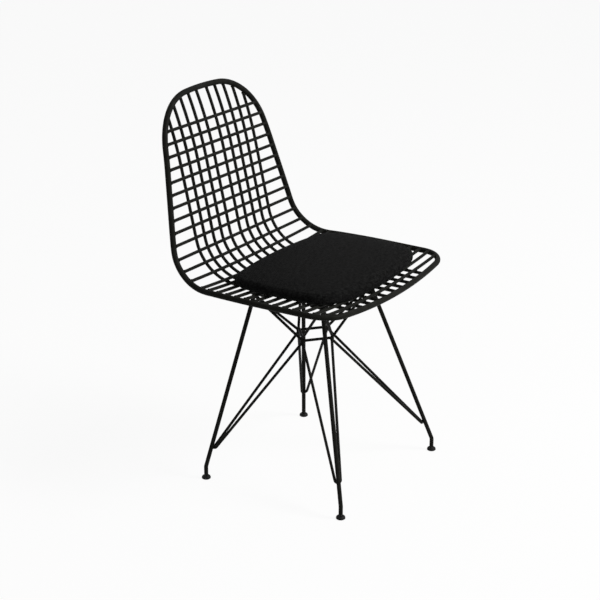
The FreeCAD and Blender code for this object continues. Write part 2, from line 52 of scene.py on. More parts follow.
camera = {
    "place": (-2.7557, -1.7906, 1.5884),
    "turn": (69.813, 0.0, -57.104),  # degrees
    "lens": 95.805,
    "sensor": 36.0,
    "reach": 200.0,  # metres, past the far edge of the floor
}
studio = {
    "floorSize": 60.0,
    "floorTone": (0.82, 0.82, 0.81),
    "floorRoughness": 0.9,
    "floorGlow": 0.93,  # share of plain white that the camera sees in the floor
    "ambient": 0.2,
    "keyPlace": (1.3, -3.6, 3.4),
    "keySize": 1.8,
    "keyPower": 260.0,
    "fillPlace": (-3.4, -0.6, 2.4),
    "fillSize": 2.6,
    "fillPower": 12.0,
    "aim": (0.0, 0.0, 0.45),
}


# Small helpers for working in object and edit mode

def clearSelection():
    if bpy.context.object and bpy.context.object.mode != "OBJECT":
        bpy.ops.object.mode_set(mode="OBJECT")
    bpy.ops.object.select_all(action="DESELECT")


def makeActive(piece):
    clearSelection()
    piece.select_set(True)
    bpy.context.view_layer.objects.active = piece


def startEdit(piece, pick):
    makeActive(piece)
    bpy.ops.object.mode_set(mode="EDIT")
    bpy.ops.mesh.select_mode(type=pick)
    bpy.ops.mesh.select_all(action="DESELECT")
    return bmesh.from_edit_mesh(piece.data)


def showPicked(piece):
    bmesh.update_edit_mesh(piece.data)


def applyAll(piece):
    makeActive(piece)
    for modifier in list(piece.modifiers):
        bpy.ops.object.modifier_apply(modifier=modifier.name)


def placedCopy(model, place):
    # a copy with its own mesh, whose place is in the mesh
    piece = model.copy()
    piece.data = model.data.copy()
    piece.data.transform(place)
    bpy.context.scene.collection.objects.link(piece)
    return piece


def joinPieces(pieces, name):
    clearSelection()
    for piece in pieces:
        piece.select_set(True)
    bpy.context.view_layer.objects.active = pieces[0]
    bpy.ops.object.join()
    joined = bpy.context.object
    joined.name = name
    joined.data.name = name
    return joined


def finishPiece(piece, material, body="chair"):
    piece.data.materials.clear()
    piece.data.materials.append(material)
    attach(piece, body)
    return piece


def frameAt(place, along, up):
    # matrix whose X runs along one direction and whose Z is near the other
    x = along.normalized()
    y = up.cross(x).normalized()
    z = x.cross(y)
    turn = Matrix((x, y, z)).transposed().to_4x4()
    return Matrix.Translation(place) @ turn


# Finishes

def startMaterial(name):
    material = bpy.data.materials.new(name)
    material.use_nodes = True
    tree = material.node_tree
    return material, tree, tree.nodes["Principled BSDF"]


def addNode(tree, kind, **values):
    node = tree.nodes.new(kind)
    for name, value in values.items():
        label = name.replace("_", " ").title()
        if label in node.inputs:
            node.inputs[label].default_value = value
        else:
            setattr(node, name, value)
    return node


def ramp(tree, source, low, high, fromTone, toTone):
    # colour ramp between two tones
    node = tree.nodes.new("ShaderNodeValToRGB")
    node.color_ramp.elements[0].position = low
    node.color_ramp.elements[1].position = high
    node.color_ramp.elements[0].color = (*fromTone, 1)
    node.color_ramp.elements[1].color = (*toTone, 1)
    tree.links.new(source, node.inputs["Fac"])
    return node.outputs["Color"]


def spread(tree, source, low, high, toLow, toHigh):
    node = addNode(tree, "ShaderNodeMapRange", clamp=True)
    for label, value in (("From Min", low), ("From Max", high), ("To Min", toLow), ("To Max", toHigh)):
        node.inputs[label].default_value = value
    tree.links.new(source, node.inputs["Value"])
    return node.outputs["Result"]


def bump(tree, shader, source, strength, depth, under=None):
    node = addNode(tree, "ShaderNodeBump", strength=strength, distance=depth)
    tree.links.new(source, node.inputs["Height"])
    if under:
        tree.links.new(under, node.inputs["Normal"])
    tree.links.new(node.outputs["Normal"], shader.inputs["Normal"])
    return node.outputs["Normal"]


def grain(tree, coords, scale, detail=2.0, roughness=0.5):
    node = addNode(tree, "ShaderNodeTexNoise", scale=scale, detail=detail, roughness=roughness)
    tree.links.new(coords, node.inputs["Vector"])
    return node.outputs["Fac"]


def waveScale(spacing):
    # a wave texture of scale 1 repeats every 2 pi / 20
    return 2 * math.pi / (20 * spacing)


coating = {
    "tone": (0.0085, 0.0085, 0.0073),
    "dust": (0.0150, 0.0150, 0.0134),
    "dustPatches": {"scale": 55, "detail": 4, "roughness": 0.65},
    "dustSpan": (0.42, 0.78),
    "gloss": (0.4, 0.55),
    "glossPatches": {"scale": 24, "detail": 3},
    "specular": 0.02,
    "peel": 900.0,  # orange peel, cells per metre
    "peelStrength": 0.25,
    "peelDepth": 0.08 * mm,
    "scuffTone": (0.045, 0.044, 0.041),
    "scuffHeight": 0.07,
    "scuffs": {"scale": 420, "detail": 3, "roughness": 0.6},
    "scuffSpan": (0.6, 0.7),
}


def satinCoating(name, scuffed):
    material, tree, shader = startMaterial(name)
    place = addNode(tree, "ShaderNodeTexCoord").outputs["Object"]
    patches = grain(tree, place, **coating["dustPatches"])
    tone = ramp(tree, patches, *coating["dustSpan"], coating["tone"], coating["dust"])
    if scuffed:
        # knocks and floor dust low on the legs
        split = addNode(tree, "ShaderNodeSeparateXYZ")
        tree.links.new(place, split.inputs["Vector"])
        low = spread(tree, split.outputs["Z"], 0.0, coating["scuffHeight"], 1.0, 0.0)
        specks = spread(tree, grain(tree, place, **coating["scuffs"]), *coating["scuffSpan"], 0.0, 1.0)
        both = addNode(tree, "ShaderNodeMath", operation="MULTIPLY")
        tree.links.new(low, both.inputs[0])
        tree.links.new(specks, both.inputs[1])
        mix = addNode(tree, "ShaderNodeMixRGB")
        tree.links.new(both.outputs["Value"], mix.inputs["Fac"])
        tree.links.new(tone, mix.inputs["Color1"])
        mix.inputs["Color2"].default_value = (*coating["scuffTone"], 1)
        tone = mix.outputs["Color"]
    tree.links.new(tone, shader.inputs["Base Color"])
    rough = spread(tree, grain(tree, place, **coating["glossPatches"]), *noiseSpan, *coating["gloss"])
    tree.links.new(rough, shader.inputs["Roughness"])
    shader.inputs["Specular IOR Level"].default_value = coating["specular"]
    bump(tree, shader, grain(tree, place, coating["peel"]), coating["peelStrength"], coating["peelDepth"])
    return material


cover = {
    "thread": 2.4 * mm,  # width of one thread of the weave
    # tone is painted into the hollows between threads and raised onto the thread tops: painted shade in the
    # hollows and a painted highlight on the tops, over the cover's own black
    "tone": (0.0010, 0.0010, 0.0010),
    "raised": (0.0150, 0.0150, 0.0149),
    "paintedShadeSpan": (0.1, 0.95),
    "strength": 0.7,
    "depth": 0.6 * mm,
    "roughness": 0.85,
    "specular": 0.03,
    "wander": {"scale": 160.0, "detail": 2.0},  # threads stray from straight
    "wanderReach": 0.9 * mm,
    "slub": {"scale": 150, "detail": 4, "roughness": 0.8},  # thick and thin yarn
    "slubSpan": (0.42, 0.58),
    "slubLevels": (0.25, 1.25),
    "fibres": {"scale": 2600, "detail": 2},
    "fibreStrength": 0.3,
    "fibreDepth": 0.1 * mm,
}


def wovenCover(name):
    # basket weave from two crossed sets of thread humps, one or the other on top
    material, tree, shader = startMaterial(name)
    flat = addNode(tree, "ShaderNodeUVMap").outputs["UV"]
    wander = addNode(tree, "ShaderNodeTexNoise", **cover["wander"])
    tree.links.new(flat, wander.inputs["Vector"])
    shift = addNode(tree, "ShaderNodeVectorMath", operation="SCALE")
    shift.inputs["Scale"].default_value = cover["wanderReach"]
    tree.links.new(wander.outputs["Color"], shift.inputs[0])
    bent = addNode(tree, "ShaderNodeVectorMath", operation="ADD")
    tree.links.new(flat, bent.inputs[0])
    tree.links.new(shift.outputs["Vector"], bent.inputs[1])
    humps = []
    for direction in ("X", "Y"):
        wave = addNode(tree, "ShaderNodeTexWave", bands_direction=direction, scale=waveScale(cover["thread"]))
        tree.links.new(bent.outputs["Vector"], wave.inputs["Vector"])
        humps.append(wave.outputs["Fac"])
    board = addNode(tree, "ShaderNodeTexChecker", scale=1 / cover["thread"])
    tree.links.new(bent.outputs["Vector"], board.inputs["Vector"])
    weave = addNode(tree, "ShaderNodeMix", data_type="FLOAT")
    tree.links.new(board.outputs["Fac"], weave.inputs["Factor"])
    tree.links.new(humps[0], weave.inputs["A"])
    tree.links.new(humps[1], weave.inputs["B"])
    height = weave.outputs["Result"]
    fibres = grain(tree, flat, **cover["fibres"])
    slub = grain(tree, flat, **cover["slub"])
    level = addNode(tree, "ShaderNodeMath", operation="MULTIPLY")
    tree.links.new(height, level.inputs[0])
    tree.links.new(spread(tree, slub, *cover["slubSpan"], *cover["slubLevels"]), level.inputs[1])
    # the colour follows the weave's height: the hollows between threads get painted shade, the thread tops
    # and thick yarn a painted highlight
    tone = ramp(tree, level.outputs["Value"], *cover["paintedShadeSpan"], cover["tone"], cover["raised"])
    tree.links.new(tone, shader.inputs["Base Color"])
    shader.inputs["Roughness"].default_value = cover["roughness"]
    shader.inputs["Specular IOR Level"].default_value = cover["specular"]
    under = bump(tree, shader, height, cover["strength"], cover["depth"])
    bump(tree, shader, fibres, cover["fibreStrength"], cover["fibreDepth"], under)
    return material


mottling = {"detail": 4, "roughness": 0.6, "span": (0.35, 0.75), "depth": 0.1 * mm, "glossPatch": 6}


def plainFinish(name, tone, raised, metallic, gloss, scale, strength, specular=0.4):
    # one tone with fine mottling, uneven gloss and grain
    material, tree, shader = startMaterial(name)
    place = addNode(tree, "ShaderNodeTexCoord").outputs["Object"]
    speck = grain(tree, place, scale, mottling["detail"], mottling["roughness"])
    tree.links.new(ramp(tree, speck, *mottling["span"], tone, raised), shader.inputs["Base Color"])
    # the gloss changes over patches several specks across
    rough = spread(tree, grain(tree, place, scale / mottling["glossPatch"]), *noiseSpan, *gloss)
    tree.links.new(rough, shader.inputs["Roughness"])
    shader.inputs["Metallic"].default_value = metallic
    shader.inputs["Specular IOR Level"].default_value = specular
    bump(tree, shader, speck, strength, mottling["depth"])
    return material


webbing = {
    "rib": 1.4 * mm,
    "thread": 0.9 * mm,
    # tone is painted into the grooves between ribs and raised onto the rib tops: painted shade in the grooves
    # and a painted highlight on the tops, over the strap's own black
    "tone": (0.008, 0.008, 0.008),
    "raised": (0.028, 0.028, 0.027),
    "paintedShadeSpan": (0.1, 0.9),
    "roughness": 0.8,
    "strength": 0.6,
    "depth": 0.25 * mm,
}


def ribbedWebbing(name):
    material, tree, shader = startMaterial(name)
    place = addNode(tree, "ShaderNodeTexCoord").outputs["Object"]
    rib = addNode(tree, "ShaderNodeTexWave", bands_direction="Z", scale=waveScale(webbing["rib"]))
    cross = addNode(tree, "ShaderNodeTexWave", bands_direction="Y", scale=waveScale(webbing["thread"]))
    for wave in (rib, cross):
        tree.links.new(place, wave.inputs["Vector"])
    both = addNode(tree, "ShaderNodeMath", operation="MULTIPLY")
    tree.links.new(rib.outputs["Fac"], both.inputs[0])
    tree.links.new(cross.outputs["Fac"], both.inputs[1])
    # the colour follows the rib height: painted shade in the grooves, painted highlight on the rib tops
    tone = ramp(tree, both.outputs["Value"], *webbing["paintedShadeSpan"], webbing["tone"], webbing["raised"])
    tree.links.new(tone, shader.inputs["Base Color"])
    shader.inputs["Roughness"].default_value = webbing["roughness"]
    bump(tree, shader, both.outputs["Value"], webbing["strength"], webbing["depth"])
    return material


shellCoating = satinCoating("shell_coating", False)
baseCoating = satinCoating("base_coating", True)
padCover = wovenCover("pad_cover")
threadFinish = plainFinish("pad_thread", (0.006, 0.006, 0.006), (0.012, 0.012, 0.012), metallic=0,
                           gloss=(0.6, 0.8), scale=3000, strength=0.3, specular=0.1)
bushRubber = plainFinish("bush_rubber", (0.005, 0.005, 0.005), (0.010, 0.010, 0.010), metallic=0,
                         gloss=(0.65, 0.85), scale=700, strength=0.3, specular=0.1)
darkSteel = plainFinish("dark_steel", (0.05, 0.05, 0.05), (0.09, 0.088, 0.085), metallic=1,
                        gloss=(0.35, 0.5), scale=500, strength=0.15)
zincSteel = plainFinish("zinc_steel", (0.2, 0.2, 0.205), (0.3, 0.3, 0.295), metallic=1,
                        gloss=(0.35, 0.5), scale=350, strength=0.1)
glideNylon = plainFinish("glide_nylon", (0.004, 0.004, 0.004), (0.009, 0.009, 0.0088), metallic=0,
                         gloss=(0.45, 0.65), scale=900, strength=0.2, specular=0.1)
strapWebbing = ribbedWebbing("strap_webbing")

finishByName = {
    "shell_rim": shellCoating, "longitudinal_wire": shellCoating, "lateral_wire": shellCoating,
    "shell_mount_plates": shellCoating, "leg_": baseCoating, "cross_brace": baseCoating,
    "mount_bushes": bushRubber, "mount_bolts": darkSteel, "glide_studs": zincSteel,
    "glide_front": glideNylon, "glide_rear": glideNylon, "seat_cushion": padCover,
    "cushion_straps": strapWebbing,
}


def coatFrame():
    for name, piece in nodes.items():
        finish = next(m for start, m in finishByName.items() if name.startswith(start))
        piece.data.materials.clear()
        piece.data.materials.append(finish)


coatFrame()
print("finishes on the CAD pieces")


# Where wires lie, read from the frame

def cutCentre(shape, place, across):
    # middle of the section that a plane makes through a wire
    cut = bmesh.ops.bisect_plane(shape, geom=shape.verts[:] + shape.edges[:] + shape.faces[:],
                                 plane_co=place, plane_no=across)["geom_cut"]
    points = [v.co.copy() for v in cut if isinstance(v, bmesh.types.BMVert)]
    if not points:
        return None
    low = Vector([min(p[i] for p in points) for i in range(3)])
    high = Vector([max(p[i] for p in points) for i in range(3)])
    return (low + high) / 2


def wireShape(name):
    shape = bmesh.new()
    shape.from_mesh(nodes[name].data)
    return shape


def named(start):
    return sorted(name for name in nodes if name.startswith(start))


laterals = named("lateral_wire")
longitudinals = named("longitudinal_wire")


# Weld beads

crossBead = {
    "radius": 3.1 * mm,
    "thick": 1.25 * mm,
    "segments": 12,
    "rings": 6,
    "lobe": 1.14,
    "corner": 0.8,  # how near to a corner's middle a lobe is drawn out
    "reach": 4.5 * mm,  # furthest that the other wire's skin is from the lateral's middle
    "sink": 0.98,  # share of that way at which the bead sits
}
rimBead = {
    "size": (3.3 * mm, 4.3 * mm, 4.3 * mm),
    "segments": 12,
    "rings": 8,
    "lump": 0.22 * mm,
    "seed": 1,
    "out": 0.4 * mm,  # past the rim's skin
    "step": 5 * mm,
    "sections": (2, 3),  # steps in from a wire's end, where its direction is read
}
lumpSize = 3 * mm  # width of one swelling on a bead


def modelCrossBead():
    # squeezed-out metal between two crossed wires: a lens with four lobes in the open corners
    clearSelection()
    bpy.ops.mesh.primitive_uv_sphere_add(segments=crossBead["segments"], ring_count=crossBead["rings"],
                                         radius=crossBead["radius"])
    bead = bpy.context.object
    shape = startEdit(bead, "VERT")
    bpy.ops.mesh.select_all(action="SELECT")
    bpy.ops.transform.resize(value=(1, 1, crossBead["thick"] / crossBead["radius"]))
    bpy.ops.mesh.select_all(action="DESELECT")
    for v in shape.verts:
        corner = abs(math.sin(2 * math.atan2(v.co.y, v.co.x)))
        v.select_set(corner > crossBead["corner"] and v.co.xy.length > crossBead["radius"] / 2)
    showPicked(bead)
    bpy.ops.transform.resize(value=(crossBead["lobe"], crossBead["lobe"], 1.0))
    bpy.ops.object.mode_set(mode="OBJECT")
    bpy.ops.object.shade_smooth()
    return bead


def crossings():
    # each place where a lateral lies on a longitudinal wire
    found = []
    columns = [(name, sum(c.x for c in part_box(name)) / 2) for name in longitudinals]
    for lateral in laterals:
        shape = wireShape(lateral)
        for name, x in columns:
            centre = cutCentre(shape, (x, 0, 0), (1, 0, 0))
            if centre is None:
                continue
            hit, near, _, _ = nodes[name].closest_point_on_mesh(centre)
            if hit and (near - centre).length < crossBead["reach"]:
                found.append((centre.lerp(near, crossBead["sink"]), (centre - near).normalized()))
        shape.free()
    return found


def makeCrossingWelds():
    model = modelCrossBead()
    beads = []
    for place, up in crossings():
        beads.append(placedCopy(model, frameAt(place, Vector((1, 0, 0)), up)))
    bpy.data.objects.remove(model)
    print(len(beads), "crossing welds")
    return finishPiece(joinPieces(beads, "crossing_welds"), shellCoating)


def modelLump(weld, seed):
    # fused metal: an uneven rounded bead
    clearSelection()
    bpy.ops.mesh.primitive_uv_sphere_add(segments=weld["segments"], ring_count=weld["rings"], radius=1.0)
    bead = bpy.context.object
    startEdit(bead, "VERT")
    bpy.ops.mesh.select_all(action="SELECT")
    bpy.ops.transform.resize(value=weld["size"])
    bpy.ops.object.mode_set(mode="OBJECT")
    for v in bead.data.vertices:
        v.co += v.normal * weld["lump"] * noise.noise(v.co / lumpSize + Vector((seed, 0, 0)))
    bpy.ops.object.shade_smooth()
    return bead


def wireEnds():
    # each wire end at the rim, with the direction that the wire leaves in
    found = []
    step = rimBead["step"]
    for name in laterals:
        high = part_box(name)[1].x
        for side in (-1, 1):
            shape = wireShape(name)
            ends = [cutCentre(shape, (side * (high - k * step), 0, 0), (1, 0, 0))
                    for k in rimBead["sections"]]
            shape.free()
            found.append((ends[0], (ends[0] - ends[1]).normalized()))
    for name in longitudinals:
        low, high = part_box(name)
        shape = wireShape(name)
        front = [cutCentre(shape, (0, low.y + k * step, 0), (0, 1, 0)) for k in rimBead["sections"]]
        top = [cutCentre(shape, (0, 0, high.z - k * step), (0, 0, 1)) for k in rimBead["sections"]]
        shape.free()
        for ends in (front, top):
            found.append((ends[0], (ends[0] - ends[1]).normalized()))
    return found


def makeRimWelds():
    model = modelLump(rimBead, rimBead["seed"])
    beads = []
    for place, toRim in wireEnds():
        hit, spot, normal, _ = nodes["shell_rim"].ray_cast(place, toRim)
        if hit:
            beads.append(placedCopy(model, frameAt(spot + toRim * rimBead["out"], toRim, normal)))
    bpy.data.objects.remove(model)
    print(len(beads), "rim welds")
    return finishPiece(joinPieces(beads, "rim_welds"), shellCoating)


baseWeld = {
    "reach": 0.9 * mm,  # widest gap that a weld closes
    "apart": 14 * mm,  # contacts nearer than this share one weld
    "step": 2.5 * mm,
    "size": (4.6 * mm, 3.4 * mm, 2.6 * mm),
    "segments": 12,
    "rings": 8,
    "lump": 0.35 * mm,
    "shapes": 3,
    "lean": 0.3,
    "seed": 4,
}


def skinPoints(name, low, high):
    # points along the edges of a rod's mesh, inside a box
    mesh = nodes[name].data
    for edge in mesh.edges:
        a, b = (mesh.vertices[i].co for i in edge.vertices)
        steps = 1 + int((b - a).length / baseWeld["step"])
        for k in range(steps):
            spot = a.lerp(b, k / steps)
            if all(low[i] < spot[i] < high[i] for i in range(3)):
                yield spot


def touches(first, second):
    # middles of the places where two rods come together
    groups = []
    other = nodes[second]
    margin = Vector((1, 1, 1)) * baseWeld["reach"]
    low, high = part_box(second)
    for point in skinPoints(first, low - margin, high + margin):
        hit, near, _, _ = other.closest_point_on_mesh(point, distance=baseWeld["reach"])
        if not hit:
            continue
        spot = (point + near) / 2
        for group in groups:
            if (group[0] - spot).length < baseWeld["apart"]:
                group.append(spot)
                break
        else:
            groups.append([spot])
    return [sum(group, Vector()) / len(group) for group in groups]


def makeBaseWelds():
    rods = named("leg_") + named("cross_brace")
    models = [modelLump(baseWeld, seed) for seed in range(baseWeld["shapes"])]
    rng = random.Random(baseWeld["seed"])
    lean = baseWeld["lean"]
    beads = []
    for i, first in enumerate(rods):
        for second in rods[i + 1:]:
            for spot in touches(first, second):
                along = Vector((rng.uniform(-lean, lean), rng.uniform(-lean, lean), 1))
                model = models[len(beads) % len(models)]
                beads.append(placedCopy(model, frameAt(spot, along, Vector((1, 0, 0)))))
    for model in models:
        bpy.data.objects.remove(model)
    print(len(beads), "base welds")
    return finishPiece(joinPieces(beads, "base_welds"), baseCoating)


plateWeld = {
    "plateHalf": 22 * mm,
    "aside": 2.7 * mm,
    "up": 0.7 * mm,
    "size": (8.5 * mm, 1.9 * mm, 1.7 * mm),
    "segments": 10,
    "rings": 8,
    "lump": 0.3 * mm,
    "seed": 7,
}
tabWeld = {
    "tab": 4.0 * mm,
    "radius": 4.9 * mm,
    "thick": 1.3 * mm,
    "segments": 20,
    "sides": 8,
    "lump": 0.3 * mm,
    "lumpSize": 2.5 * mm,
    "step": 3 * mm,
    "rise": 0.9,  # of a step, up from the first section below the tab
}


def makePlateWelds():
    # fillets along both sides of each wire that lies on a shell plate
    plates = nodes["shell_mount_plates"]
    model = modelLump(plateWeld, plateWeld["seed"])
    lift = Vector((0, 0, plateWeld["up"]))
    beads = []
    for sx in (-1, 1):
        for sy in (-1, 1):
            spots = [v.co for v in plates.data.vertices if v.co.x * sx > 0 and v.co.y * sy > 0]
            middle = [(min(c[k] for c in spots) + max(c[k] for c in spots)) / 2 for k in (0, 1)]
            top = max(c.z for c in spots) + clear
            for name in longitudinals:
                x = sum(c.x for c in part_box(name)) / 2
                if abs(x - middle[0]) > plateWeld["plateHalf"]:
                    continue
                for side in (-1, 1):
                    spot = Vector((x + side * plateWeld["aside"], middle[1], top))
                    hit, on, _, _ = plates.ray_cast(spot, Vector((0, 0, -1)))
                    if hit:
                        place = frameAt(on + lift, Vector((0, 1, 0)), Vector((0, 0, 1)))
                        beads.append(placedCopy(model, place))
    bpy.data.objects.remove(model)
    print(len(beads), "plate welds")
    return finishPiece(joinPieces(beads, "plate_welds"), shellCoating)


def makeTabWelds():
    # a ring of weld where each leg meets the underside of its tab
    clearSelection()
    bpy.ops.mesh.primitive_torus_add(major_segments=tabWeld["segments"], minor_segments=tabWeld["sides"],
                                     major_radius=tabWeld["radius"], minor_radius=tabWeld["thick"])
    model = bpy.context.object
    for v in model.data.vertices:
        v.co += v.normal * tabWeld["lump"] * noise.noise(v.co / tabWeld["lumpSize"])
    bpy.ops.object.shade_smooth()
    highest = max(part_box(name)[1].z for name in named("leg_"))
    rings = []
    for name in named("leg_"):
        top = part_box(name)[1].z
        if top < highest - 1 * mm:
            continue  # a hairpin, which ends lower and has no tab
        below = top - tabWeld["tab"]
        shape = wireShape(name)
        cuts = [cutCentre(shape, (0, 0, below - k * tabWeld["step"]), (0, 0, 1)) for k in (1, 2)]
        shape.free()
        place = cuts[0] + (cuts[0] - cuts[1]) * tabWeld["rise"]
        rings.append(placedCopy(model, frameAt(place, Vector((1, 0, 0)), Vector((0, 0, 1)))))
    bpy.data.objects.remove(model)
    print(len(rings), "tab welds")
    return finishPiece(joinPieces(rings, "tab_welds"), baseCoating)


# Seat pad: woven cover sewn from a top, a band and an underside, over foam

pad = {
    "node": "seat_cushion",
    "columns": 66,
    "rows": 46,
    "edgeCrowding": 0.45,  # rows lie closer together near the seams
    "seamInset": 10.0 * mm,  # upper seam, in from the widest line of the band
    # band below that seam, as inset from the widest line and share of the way down
    "band": ((5.6 * mm, 0.1), (3.7 * mm, 0.27), (2.8 * mm, 0.48),
             (2.9 * mm, 0.7), (4.2 * mm, 0.88), (7 * mm, 1)),
    "bandHeight": 21.5 * mm,  # at the two sides; deeper between them, over the dished wires
    "lift": 0.4 * mm,  # underside above the wires
    "dishAt": 0.9,  # share of the half width where the dish is measured
    "crown": 8.0 * mm,
    "bulge": 2.6 * mm,
    "fullness": 1.3,  # how soon the foam reaches its full height in from the seam
    "pressure": 4.0,
    "frames": 20,
    "clothQuality": 6,
    "clothMass": 0.15,
    "clothStiffness": 12,
    "clothBending": 0.6,
    "merge": 0.02 * mm,
    "near": 0.1 * mm,  # points this close to a level belong to it
}
stitching = {
    "pitch": 3.6 * mm,
    "length": 2.5 * mm,
    "width": 0.62 * mm,
    "inset": 2.6 * mm,
    "segments": 6,
    "rings": 5,
}


def padRing(count):
    # evenly spaced points round the widest line of the CAD cushion, from its rear right corner
    low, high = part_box(pad["node"])
    shape = wireShape(pad["node"])
    widest = [v.co.z for v in shape.verts if v.co.x > high.x - pad["near"]]
    level = sum(widest) / len(widest)
    cut = bmesh.ops.bisect_plane(shape, geom=shape.verts[:] + shape.edges[:] + shape.faces[:],
                                 plane_co=(0, 0, level), plane_no=(0, 0, 1))["geom_cut"]
    centre = Vector(((low.x + high.x) / 2, (low.y + high.y) / 2, 0))
    ring = [v.co - centre for v in cut if isinstance(v, bmesh.types.BMVert)]
    shape.free()
    ring = sorted(ring, key=lambda p: math.atan2(p.y, p.x) % (2 * math.pi))
    corner = math.atan2(high.y - centre.y, high.x - centre.x)
    start = min(range(len(ring)), key=lambda i: abs(math.atan2(ring[i].y, ring[i].x) - corner))
    ring = ring[start:] + ring[:start + 1]
    lengths = [0.0]
    for a, b in zip(ring, ring[1:]):
        lengths.append(lengths[-1] + (b - a).length)
    points = []
    k = 0
    for i in range(count):
        along = lengths[-1] * i / count
        while lengths[k + 1] < along:
            k += 1
        share = (along - lengths[k]) / max(tiny, lengths[k + 1] - lengths[k])
        spot = ring[k].lerp(ring[k + 1], share) + centre
        points.append(Vector((spot.x, spot.y, 0)))
    return points


def drawnIn(ring, inset):
    count = len(ring)
    moved = []
    for i, p in enumerate(ring):
        along = (ring[(i + 1) % count] - ring[i - 1]).normalized()
        moved.append(p + Vector((-along.y, along.x, 0)) * inset)
    return moved


def crowded(share):
    # spacing that closes up towards both ends
    k = pad["edgeCrowding"]
    return (1 - k) * share + k * (1 - math.cos(math.pi * share)) / 2


def ringSpot(ring, at):
    i = int(at) % len(ring)
    return ring[i].lerp(ring[(i + 1) % len(ring)], at - int(at))


def panelSpot(ring, u, v):
    # place on the panel inside the ring, from how far it is across and back
    nx, ny = pad["columns"], pad["rows"]
    rear = ringSpot(ring, nx * (1 - u))
    left = ringSpot(ring, nx + ny * (1 - v))
    front = ringSpot(ring, nx + ny + nx * u)
    right = ringSpot(ring, 2 * nx + ny + ny * v)
    corners = [ring[nx + ny], ring[2 * nx + ny], ring[0], ring[nx]]
    flat = (corners[0] * (1 - u) + corners[1] * u) * (1 - v) + (corners[2] * u + corners[3] * (1 - u)) * v
    return front * (1 - v) + rear * v + left * (1 - u) + right * u - flat


def padHeights():
    # the CAD underside as a dish over x, from two rays, and the level of the upper seam
    cushion = nodes[pad["node"]]
    low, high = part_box(pad["node"])
    middle = (low.y + high.y) / 2
    out = pad["dishAt"] * high.x
    zs = [cushion.ray_cast(Vector((x, middle, low.z - clear)), Vector((0, 0, 1)))[1].z for x in (0, out)]
    curve = (zs[1] - zs[0]) / out ** 2

    def underside(x):
        return zs[0] + curve * x * x + pad["lift"]

    return underside, zs[0] + curve * high.x ** 2 + pad["bandHeight"]


def modelPad():
    nx, ny = pad["columns"], pad["rows"]
    seam = drawnIn(padRing(2 * (nx + ny)), pad["seamInset"])
    underside, topLevel = padHeights()
    low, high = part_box(pad["node"])
    centre = (low + high) / 2
    half = (high - low) / 2
    clearSelection()
    bpy.ops.mesh.primitive_grid_add(x_subdivisions=nx, y_subdivisions=ny, size=2)
    piece = bpy.context.object
    piece.name = "seat_pad"
    for v in piece.data.vertices:
        spot = panelSpot(seam, crowded((v.co.x + 1) / 2), crowded((v.co.y + 1) / 2))
        v.co = (spot.x, spot.y, topLevel)
    # the underside is a second panel, turned over
    grown = [(half[k] - pad["band"][-1][0]) / (half[k] - pad["seamInset"]) for k in (0, 1)]
    under = placedCopy(piece, Matrix.Identity(4))
    for v in under.data.vertices:
        for k in (0, 1):
            v.co[k] = centre[k] + (v.co[k] - centre[k]) * grown[k]
        v.co.z = underside(v.co.x)
    under.data.flip_normals()
    # the band is drawn down from the top panel's edge, row by row, to meet the underside
    shape = startEdit(piece, "EDGE")
    for e in shape.edges:
        e.select_set(e.is_boundary)
    showPicked(piece)
    last = pad["seamInset"]
    for inset, down in pad["band"]:
        bpy.ops.mesh.extrude_region_move(TRANSFORM_OT_translate={"value": (0, 0, -1 * mm)})
        wider = [(half[k] - inset) / (half[k] - last) for k in (0, 1)]
        bpy.ops.transform.resize(value=(*wider, 1), center_override=centre)
        last = inset
        shape = bmesh.from_edit_mesh(piece.data)
        for v in shape.verts:
            if v.select:
                v.co.z = topLevel * (1 - down) + underside(v.co.x) * down
        showPicked(piece)
    bpy.ops.object.mode_set(mode="OBJECT")
    piece = joinPieces([piece, under], "seat_pad")
    startEdit(piece, "VERT")
    bpy.ops.mesh.select_all(action="SELECT")
    bpy.ops.mesh.remove_doubles(threshold=pad["merge"])
    bpy.ops.mesh.normals_make_consistent(inside=False)
    bpy.ops.object.mode_set(mode="OBJECT")
    return piece, seam, underside, topLevel


def padPart(co, underside, topLevel):
    # which of the sewn parts a point of the flat-laid pad belongs to
    if abs(co.z - topLevel) < pad["near"]:
        return "top"
    if abs(co.z - underside(co.x)) < pad["near"]:
        return "under"
    return "band"


def inflatePad(piece, held):
    # the cover is blown up by the foam while its seams and underside are held
    piece.vertex_groups.new(name="held").add(held, 1.0, "REPLACE")
    cloth = piece.modifiers.new("cloth", "CLOTH")
    cloth.settings.vertex_group_mass = "held"
    cloth.settings.quality = pad["clothQuality"]
    cloth.settings.mass = pad["clothMass"]
    cloth.settings.tension_stiffness = pad["clothStiffness"]
    cloth.settings.compression_stiffness = pad["clothStiffness"]
    cloth.settings.bending_stiffness = pad["clothBending"]
    cloth.settings.use_pressure = True
    cloth.settings.uniform_pressure_force = pad["pressure"]
    cloth.settings.effector_weights.gravity = 0
    cloth.collision_settings.use_collision = False
    scene = bpy.context.scene
    for frameNumber in range(1, pad["frames"] + 1):
        scene.frame_set(frameNumber)
    applyAll(piece)
    scene.frame_set(1)
    piece.vertex_groups.clear()


def settlePad(piece, parts, rest):
    # foam fills the cover: a broad crown on top, a small bulge round the band
    moves = [v.co - co for v, co in zip(piece.data.vertices, rest)]
    reach = {part: max(m.length for m, p in zip(moves, parts) if p == part) for part in ("top", "band")}
    print("pad moved by", {part: round(far / mm, 1) for part, far in reach.items()}, "mm")
    k = pad["fullness"]
    for v, co, move, part in zip(piece.data.vertices, rest, moves, parts):
        if part == "under" or move.length < tiny:
            v.co = co
            continue
        goal = pad["crown"] if part == "top" else pad["bulge"]
        share = (1 - math.exp(-k * move.length / reach[part])) / (1 - math.exp(-k))
        v.co = co + move.normalized() * goal * share


